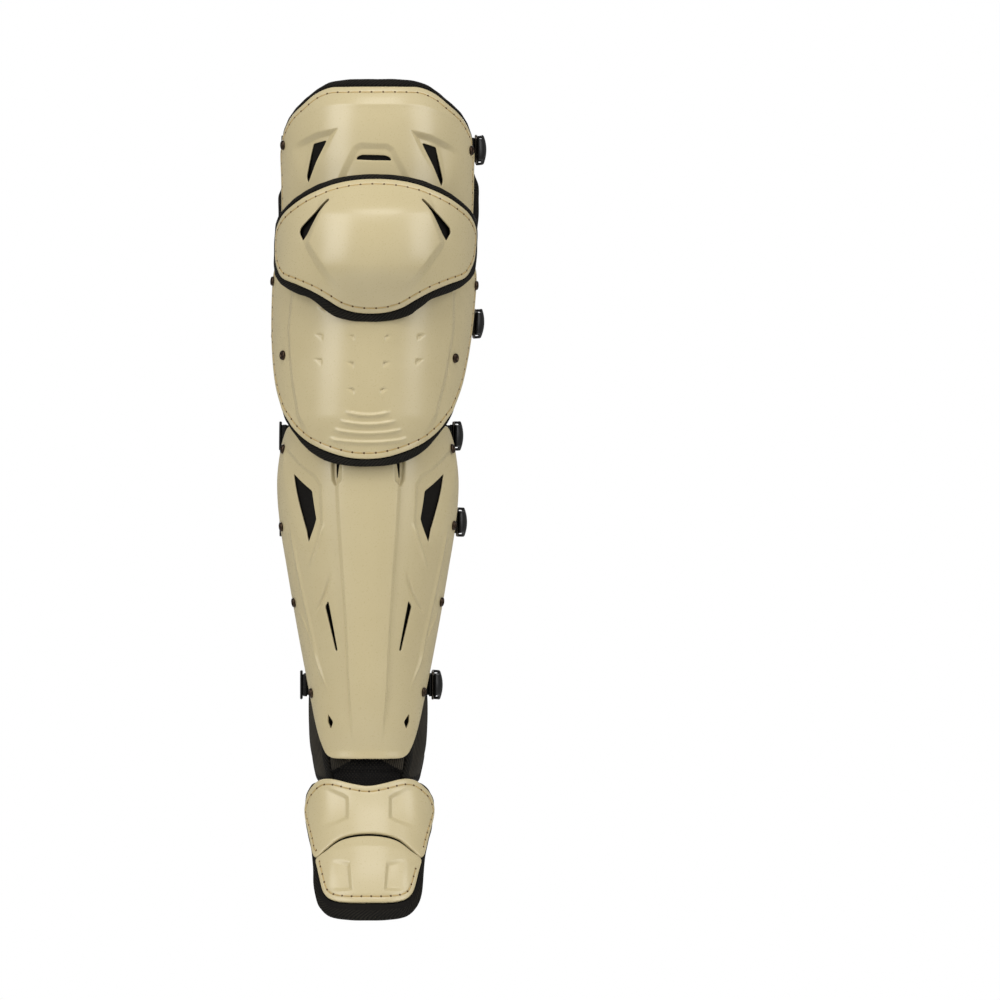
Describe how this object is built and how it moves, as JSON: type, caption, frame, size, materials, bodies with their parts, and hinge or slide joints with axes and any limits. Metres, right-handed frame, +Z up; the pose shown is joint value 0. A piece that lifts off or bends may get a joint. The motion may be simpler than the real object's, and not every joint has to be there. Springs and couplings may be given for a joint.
{
  "type": "catcher leg guard",
  "caption": "Baseball catcher's leg guard: moulded thigh, knee, shin and foot plates over black pads, with clipped webbing straps round the back of the leg.",
  "frame": {"origin": "on the leg's axis at the middle of the knee", "axes": "+Z up the leg, the guard's front faces -Y, +X towards the clips"},
  "size_m": [0.1755, 0.197, 0.6725],
  "materials": {
    "shell": "sand-coloured moulded plastic, semi-gloss",
    "padding": "near-black woven fabric over foam, bound edges",
    "mesh": "dark open mesh fabric",
    "webbing": "black webbing",
    "clip": "black moulded plastic",
    "wire": "dark plated wire",
    "rivet": "dark bronze rivet heads"
  },
  "bodies": {
    "root": {"thigh_plate": "shell", "knee_plate": "shell", "lower_knee_plate": "shell", "shin_plate": "shell", "instep_plate": "shell", "toe_plate": "shell", "thigh_pad": "padding", "knee_pad": "padding", "lower_knee_pad": "padding", "shin_pad": "padding", "foot_pad": "padding", "ankle_wing_left": "padding", "ankle_wing_right": "padding", "ankle_gusset": "mesh", "thigh_strap": "webbing", "thigh_tab": "webbing", "thigh_clip": "clip", "thigh_slider": "clip", "thigh_ring": "wire", "knee_strap": "webbing", "knee_tab": "webbing", "knee_clip": "clip", "knee_slider": "clip", "knee_ring": "wire", "calf_upper_strap": "webbing", "calf_upper_tab": "webbing", "calf_upper_clip": "clip", "calf_upper_slider": "clip", "calf_upper_ring": "wire", "calf_lower_strap": "webbing", "calf_lower_tab": "webbing", "calf_lower_clip": "clip", "calf_lower_slider": "clip", "calf_lower_ring": "wire", "ankle_strap": "webbing", "ankle_tab": "webbing", "ankle_clip": "clip", "ankle_slider": "clip", "ankle_ring": "wire", "rivet_01": "rivet", "rivet_02": "rivet", "rivet_03": "rivet", "rivet_04": "rivet", "rivet_05": "rivet", "rivet_06": "rivet", "rivet_07": "rivet", "rivet_08": "rivet", "rivet_09": "rivet", "rivet_10": "rivet", "rivet_11": "rivet", "rivet_12": "rivet", "rivet_13": "rivet", "rivet_14": "rivet"}
  },
  "joints": []
}
